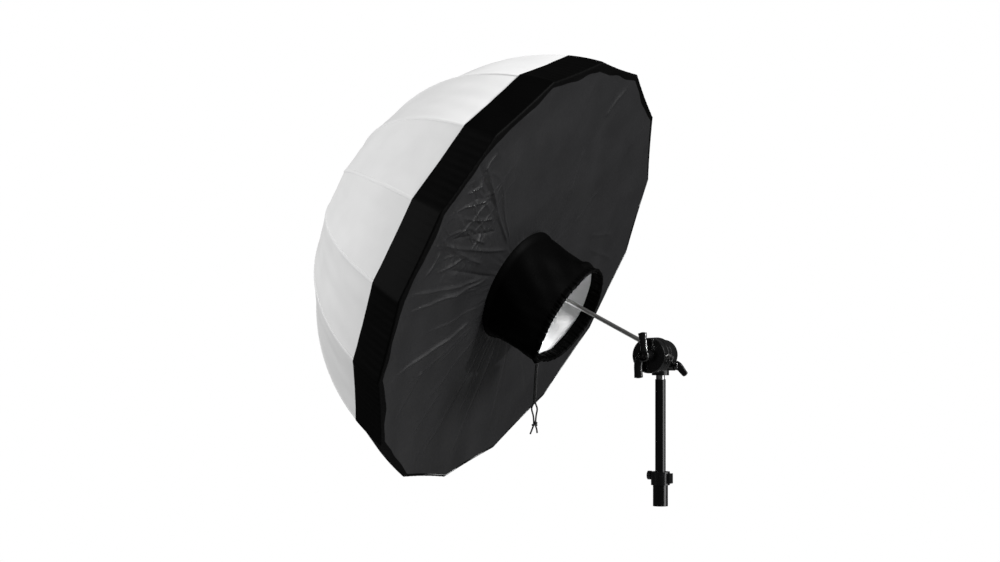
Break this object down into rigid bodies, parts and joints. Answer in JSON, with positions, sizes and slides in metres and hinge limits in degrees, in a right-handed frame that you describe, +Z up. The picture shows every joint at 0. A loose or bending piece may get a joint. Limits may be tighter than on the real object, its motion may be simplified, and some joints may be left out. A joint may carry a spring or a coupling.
{
  "type": "umbrella reflector",
  "caption": "Deep white umbrella reflector with a slip-on black back panel, held by its shaft in a grip head on a light stand top.",
  "frame": {"origin": "centre of the lower end of the stand tube that everything stands on", "axes": "+Z up along the stand, +X towards the open front of the umbrella, +Y along the clamp bolt away from the T-handle"},
  "size_m": [0.686, 0.8476, 0.8123],
  "materials": {
    "stand_black": "gloss",
    "riser_black": "gloss",
    "knob_plastic": "satin",
    "bright_steel": "bright",
    "head_black": "gloss",
    "handle_black": "gloss",
    "shaft_steel": "satin",
    "black_rubber": "matte",
    "black_nylon": "satin",
    "white_cloth": "matte",
    "black_cloth": "satin",
    "black_cord": "matte",
    "rib_glassfibre": "satin",
    "stretcher_steel": "satin"
  },
  "bodies": {
    "stand": {"stand_tube": "stand_black", "stand_collar": "stand_black"},
    "collar_knob": {"collar_knob": "knob_plastic"},
    "riser": {"stand_riser": "riser_black", "stand_spigot": "bright_steel"},
    "receiver": {"head_receiver": "head_black", "head_bolt": "bright_steel"},
    "receiver_lock": {"receiver_lock": "head_black"},
    "jaws": {"jaw_back": "head_black", "jaw_front": "head_black", "head_washer": "bright_steel"},
    "t_handle": {"t_handle": "handle_black"},
    "shaft": {"shaft": "shaft_steel", "shaft_cap": "black_rubber", "crown_notch": "black_nylon", "crown_wire": "bright_steel", "crown_cap": "black_nylon", "canopy": "white_cloth"},
    "rib_01": {"rib_01": "rib_glassfibre"},
    "rib_02": {"rib_02": "rib_glassfibre"},
    "rib_03": {"rib_03": "rib_glassfibre"},
    "rib_04": {"rib_04": "rib_glassfibre"},
    "rib_05": {"rib_05": "rib_glassfibre"},
    "rib_06": {"rib_06": "rib_glassfibre"},
    "rib_07": {"rib_07": "rib_glassfibre"},
    "rib_08": {"rib_08": "rib_glassfibre"},
    "rib_09": {"rib_09": "rib_glassfibre"},
    "rib_10": {"rib_10": "rib_glassfibre"},
    "rib_11": {"rib_11": "rib_glassfibre"},
    "rib_12": {"rib_12": "rib_glassfibre"},
    "rib_13": {"rib_13": "rib_glassfibre"},
    "rib_14": {"rib_14": "rib_glassfibre"},
    "rib_15": {"rib_15": "rib_glassfibre"},
    "rib_16": {"rib_16": "rib_glassfibre"},
    "stretcher_01": {"stretcher_01": "stretcher_steel"},
    "stretcher_02": {"stretcher_02": "stretcher_steel"},
    "stretcher_03": {"stretcher_03": "stretcher_steel"},
    "stretcher_04": {"stretcher_04": "stretcher_steel"},
    "stretcher_05": {"stretcher_05": "stretcher_steel"},
    "stretcher_06": {"stretcher_06": "stretcher_steel"},
    "stretcher_07": {"stretcher_07": "stretcher_steel"},
    "stretcher_08": {"stretcher_08": "stretcher_steel"},
    "stretcher_09": {"stretcher_09": "stretcher_steel"},
    "stretcher_10": {"stretcher_10": "stretcher_steel"},
    "stretcher_11": {"stretcher_11": "stretcher_steel"},
    "stretcher_12": {"stretcher_12": "stretcher_steel"},
    "stretcher_13": {"stretcher_13": "stretcher_steel"},
    "stretcher_14": {"stretcher_14": "stretcher_steel"},
    "stretcher_15": {"stretcher_15": "stretcher_steel"},
    "stretcher_16": {"stretcher_16": "stretcher_steel"},
    "runner": {"runner": "black_nylon", "runner_wire": "bright_steel"},
    "runner_button": {"runner_button": "black_nylon"},
    "back_panel": {"panel_face": "black_cloth", "panel_skirt": "black_cloth", "collar": "black_cloth", "collar_hem": "black_cloth", "drawcord_a": "black_cord", "drawcord_b": "black_cord", "cord_knot": "black_cord"}
  },
  "joints": [
    {"name": "collar_knob_turn", "type": "hinge", "parent": "stand", "child": "collar_knob", "pos_m": [0, 0, 0.055], "axis": [1, 0, 0], "range_deg": [0, 180]},
    {"name": "riser_slide", "type": "slide", "parent": "stand", "child": "riser", "axis": [0, 0, 1], "range_m": [-0.12, 0.02]},
    {"name": "head_pan", "type": "hinge", "parent": "riser", "child": "receiver", "pos_m": [0, 0, 0.25], "axis": [0, 0, 1], "range_deg": [-180, 180]},
    {"name": "receiver_lock_turn", "type": "hinge", "parent": "receiver", "child": "receiver_lock", "pos_m": [0.02, 0, 0.253], "axis": [1, 0, 0], "range_deg": [0, 270]},
    {"name": "head_tilt", "type": "hinge", "parent": "receiver", "child": "jaws", "pos_m": [0, -0.036, 0.272], "axis": [0, 1, 0], "range_deg": [-50, 60]},
    {"name": "t_handle_turn", "type": "hinge", "parent": "receiver", "child": "t_handle", "pos_m": [0, -0.06, 0.272], "axis": [0, 1, 0], "range_deg": [-180, 180]},
    {"name": "shaft_slide", "type": "slide", "parent": "jaws", "child": "shaft", "axis": [0.8965, 0, -0.4431], "range_m": [-0.02, 0.008]},
    {"name": "fold", "type": "hinge", "parent": "shaft", "child": "rib_01", "pos_m": [-0.59989, -0.03456, 0.56969], "axis": [-0.0532, -0.9928, -0.1077], "range_deg": [0, 42], "deforming": ["canopy", "panel_face", "panel_skirt"]},
    {"name": "fold_rib_02", "type": "hinge", "parent": "shaft", "child": "rib_02", "pos_m": [-0.59924, -0.03011, 0.571], "axis": [-0.2175, -0.8712, -0.4401], "range_deg": [0, 42]},
    {"name": "fold_rib_03", "type": "hinge", "parent": "shaft", "child": "rib_03", "pos_m": [-0.59789, -0.02656, 0.57374], "axis": [-0.3487, -0.617, -0.7055], "range_deg": [0, 42]},
    {"name": "fold_rib_04", "type": "hinge", "parent": "shaft", "child": "rib_04", "pos_m": [-0.59604, -0.02444, 0.57748], "axis": [-0.4267, -0.2689, -0.8635], "range_deg": [0, 42]},
    {"name": "fold_rib_05", "type": "hinge", "parent": "shaft", "child": "rib_05", "pos_m": [-0.59397, -0.02409, 0.58167], "axis": [-0.4399, 0.1201, -0.89], "range_deg": [0, 42]},
    {"name": "fold_rib_06", "type": "hinge", "parent": "shaft", "child": "rib_06", "pos_m": [-0.592, -0.02555, 0.58566], "axis": [-0.386, 0.4909, -0.781], "range_deg": [0, 42]},
    {"name": "fold_rib_07", "type": "hinge", "parent": "shaft", "child": "rib_07", "pos_m": [-0.59042, -0.0286, 0.58884], "axis": [-0.2734, 0.7869, -0.5532], "range_deg": [0, 42]},
    {"name": "fold_rib_08", "type": "hinge", "parent": "shaft", "child": "rib_08", "pos_m": [-0.58949, -0.03277, 0.59074], "axis": [-0.1192, 0.9632, -0.2411], "range_deg": [0, 42]},
    {"name": "fold_rib_09", "type": "hinge", "parent": "shaft", "child": "rib_09", "pos_m": [-0.58933, -0.03744, 0.59105], "axis": [0.0532, 0.9928, 0.1077], "range_deg": [0, 42]},
    {"name": "fold_rib_10", "type": "hinge", "parent": "shaft", "child": "rib_10", "pos_m": [-0.58998, -0.04189, 0.58975], "axis": [0.2175, 0.8712, 0.4401], "range_deg": [0, 42]},
    {"name": "fold_rib_11", "type": "hinge", "parent": "shaft", "child": "rib_11", "pos_m": [-0.59133, -0.04544, 0.58701], "axis": [0.3487, 0.617, 0.7055], "range_deg": [0, 42]},
    {"name": "fold_rib_12", "type": "hinge", "parent": "shaft", "child": "rib_12", "pos_m": [-0.59318, -0.04756, 0.58327], "axis": [0.4267, 0.2689, 0.8635], "range_deg": [0, 42]},
    {"name": "fold_rib_13", "type": "hinge", "parent": "shaft", "child": "rib_13", "pos_m": [-0.59525, -0.04791, 0.57908], "axis": [0.4399, -0.1201, 0.89], "range_deg": [0, 42]},
    {"name": "fold_rib_14", "type": "hinge", "parent": "shaft", "child": "rib_14", "pos_m": [-0.59722, -0.04645, 0.57509], "axis": [0.386, -0.4909, 0.781], "range_deg": [0, 42]},
    {"name": "fold_rib_15", "type": "hinge", "parent": "shaft", "child": "rib_15", "pos_m": [-0.59879, -0.0434, 0.57191], "axis": [0.2734, -0.7869, 0.5532], "range_deg": [0, 42]},
    {"name": "fold_rib_16", "type": "hinge", "parent": "shaft", "child": "rib_16", "pos_m": [-0.59973, -0.03923, 0.57001], "axis": [0.1192, -0.9632, 0.2411], "range_deg": [0, 42]},
    {"name": "swing_stretcher_01", "type": "hinge", "parent": "rib_01", "child": "stretcher_01", "pos_m": [-0.62566, -0.01197, 0.37421], "axis": [-0.0532, -0.9928, -0.1077], "range_deg": [-84, 0]},
    {"name": "swing_stretcher_02", "type": "hinge", "parent": "rib_02", "child": "stretcher_02", "pos_m": [-0.61488, 0.06219, 0.39601], "axis": [-0.2175, -0.8712, -0.4401], "range_deg": [-84, 0]},
    {"name": "swing_stretcher_03", "type": "hinge", "parent": "rib_03", "child": "stretcher_03", "pos_m": [-0.59236, 0.12141, 0.44159], "axis": [-0.3487, -0.617, -0.7055], "range_deg": [-84, 0]},
    {"name": "swing_stretcher_04", "type": "hinge", "parent": "rib_04", "child": "stretcher_04", "pos_m": [-0.5615, 0.15666, 0.50401], "axis": [-0.4267, -0.2689, -0.8635], "range_deg": [-84, 0]},
    {"name": "swing_stretcher_05", "type": "hinge", "parent": "rib_05", "child": "stretcher_05", "pos_m": [-0.52702, 0.16258, 0.57378], "axis": [-0.4399, 0.1201, -0.89], "range_deg": [-84, 0]},
    {"name": "swing_stretcher_06", "type": "hinge", "parent": "rib_06", "child": "stretcher_06", "pos_m": [-0.49416, 0.13827, 0.64026], "axis": [-0.386, 0.4909, -0.781], "range_deg": [-84, 0]},
    {"name": "swing_stretcher_07", "type": "hinge", "parent": "rib_07", "child": "stretcher_07", "pos_m": [-0.46793, 0.08742, 0.69335], "axis": [-0.2734, 0.7869, -0.5532], "range_deg": [-84, 0]},
    {"name": "swing_stretcher_08", "type": "hinge", "parent": "rib_08", "child": "stretcher_08", "pos_m": [-0.45231, 0.01779, 0.72495], "axis": [-0.1192, 0.9632, -0.2411], "range_deg": [-84, 0]},
    {"name": "swing_stretcher_09", "type": "hinge", "parent": "rib_09", "child": "stretcher_09", "pos_m": [-0.44969, -0.06003, 0.73026], "axis": [0.0532, 0.9928, 0.1077], "range_deg": [-84, 0]},
    {"name": "swing_stretcher_10", "type": "hinge", "parent": "rib_10", "child": "stretcher_10", "pos_m": [-0.46046, -0.13419, 0.70846], "axis": [0.2175, 0.8712, 0.4401], "range_deg": [-84, 0]},
    {"name": "swing_stretcher_11", "type": "hinge", "parent": "rib_11", "child": "stretcher_11", "pos_m": [-0.48299, -0.19341, 0.66288], "axis": [0.3487, 0.617, 0.7055], "range_deg": [-84, 0]},
    {"name": "swing_stretcher_12", "type": "hinge", "parent": "rib_12", "child": "stretcher_12", "pos_m": [-0.51384, -0.22866, 0.60046], "axis": [0.4267, 0.2689, 0.8635], "range_deg": [-84, 0]},
    {"name": "swing_stretcher_13", "type": "hinge", "parent": "rib_13", "child": "stretcher_13", "pos_m": [-0.54832, -0.23458, 0.53069], "axis": [0.4399, -0.1201, 0.89], "range_deg": [-84, 0]},
    {"name": "swing_stretcher_14", "type": "hinge", "parent": "rib_14", "child": "stretcher_14", "pos_m": [-0.58118, -0.21027, 0.46421], "axis": [0.386, -0.4909, 0.781], "range_deg": [-84, 0]},
    {"name": "swing_stretcher_15", "type": "hinge", "parent": "rib_15", "child": "stretcher_15", "pos_m": [-0.60741, -0.15942, 0.41112], "axis": [0.2734, -0.7869, 0.5532], "range_deg": [-84, 0]},
    {"name": "swing_stretcher_16", "type": "hinge", "parent": "rib_16", "child": "stretcher_16", "pos_m": [-0.62303, -0.08979, 0.37952], "axis": [0.1192, -0.9632, 0.2411], "range_deg": [-84, 0]},
    {"name": "runner_travel", "type": "hinge", "parent": "stretcher_01", "child": "runner", "pos_m": [-0.48601, -0.03456, 0.51342], "axis": [-0.0532, -0.9928, -0.1077], "range_deg": [0, 42]},
    {"name": "runner_button_press", "type": "slide", "parent": "runner", "child": "runner_button", "axis": [0.4431, 0, 0.8965], "range_m": [0, 0.0014], "stiffness_N_per_m": 600},
    {"name": "panel_slip", "type": "slide", "parent": "shaft", "child": "back_panel", "axis": [0.8965, 0, -0.4431], "range_m": [0, 0.206]}
  ],
  "couplings": [
    {"joint": "fold_rib_02", "follows": "fold", "ratio": 1},
    {"joint": "fold_rib_03", "follows": "fold", "ratio": 1},
    {"joint": "fold_rib_04", "follows": "fold", "ratio": 1},
    {"joint": "fold_rib_05", "follows": "fold", "ratio": 1},
    {"joint": "fold_rib_06", "follows": "fold", "ratio": 1},
    {"joint": "fold_rib_07", "follows": "fold", "ratio": 1},
    {"joint": "fold_rib_08", "follows": "fold", "ratio": 1},
    {"joint": "fold_rib_09", "follows": "fold", "ratio": 1},
    {"joint": "fold_rib_10", "follows": "fold", "ratio": 1},
    {"joint": "fold_rib_11", "follows": "fold", "ratio": 1},
    {"joint": "fold_rib_12", "follows": "fold", "ratio": 1},
    {"joint": "fold_rib_13", "follows": "fold", "ratio": 1},
    {"joint": "fold_rib_14", "follows": "fold", "ratio": 1},
    {"joint": "fold_rib_15", "follows": "fold", "ratio": 1},
    {"joint": "fold_rib_16", "follows": "fold", "ratio": 1},
    {"joint": "swing_stretcher_01", "follows": "fold", "ratio": -2},
    {"joint": "swing_stretcher_02", "follows": "fold", "ratio": -2},
    {"joint": "swing_stretcher_03", "follows": "fold", "ratio": -2},
    {"joint": "swing_stretcher_04", "follows": "fold", "ratio": -2},
    {"joint": "swing_stretcher_05", "follows": "fold", "ratio": -2},
    {"joint": "swing_stretcher_06", "follows": "fold", "ratio": -2},
    {"joint": "swing_stretcher_07", "follows": "fold", "ratio": -2},
    {"joint": "swing_stretcher_08", "follows": "fold", "ratio": -2},
    {"joint": "swing_stretcher_09", "follows": "fold", "ratio": -2},
    {"joint": "swing_stretcher_10", "follows": "fold", "ratio": -2},
    {"joint": "swing_stretcher_11", "follows": "fold", "ratio": -2},
    {"joint": "swing_stretcher_12", "follows": "fold", "ratio": -2},
    {"joint": "swing_stretcher_13", "follows": "fold", "ratio": -2},
    {"joint": "swing_stretcher_14", "follows": "fold", "ratio": -2},
    {"joint": "swing_stretcher_15", "follows": "fold", "ratio": -2},
    {"joint": "swing_stretcher_16", "follows": "fold", "ratio": -2},
    {"joint": "runner_travel", "follows": "fold", "ratio": 1},
    {"joint": "panel_slip", "follows": "fold", "m_per_rad": 0.28}
  ]
}
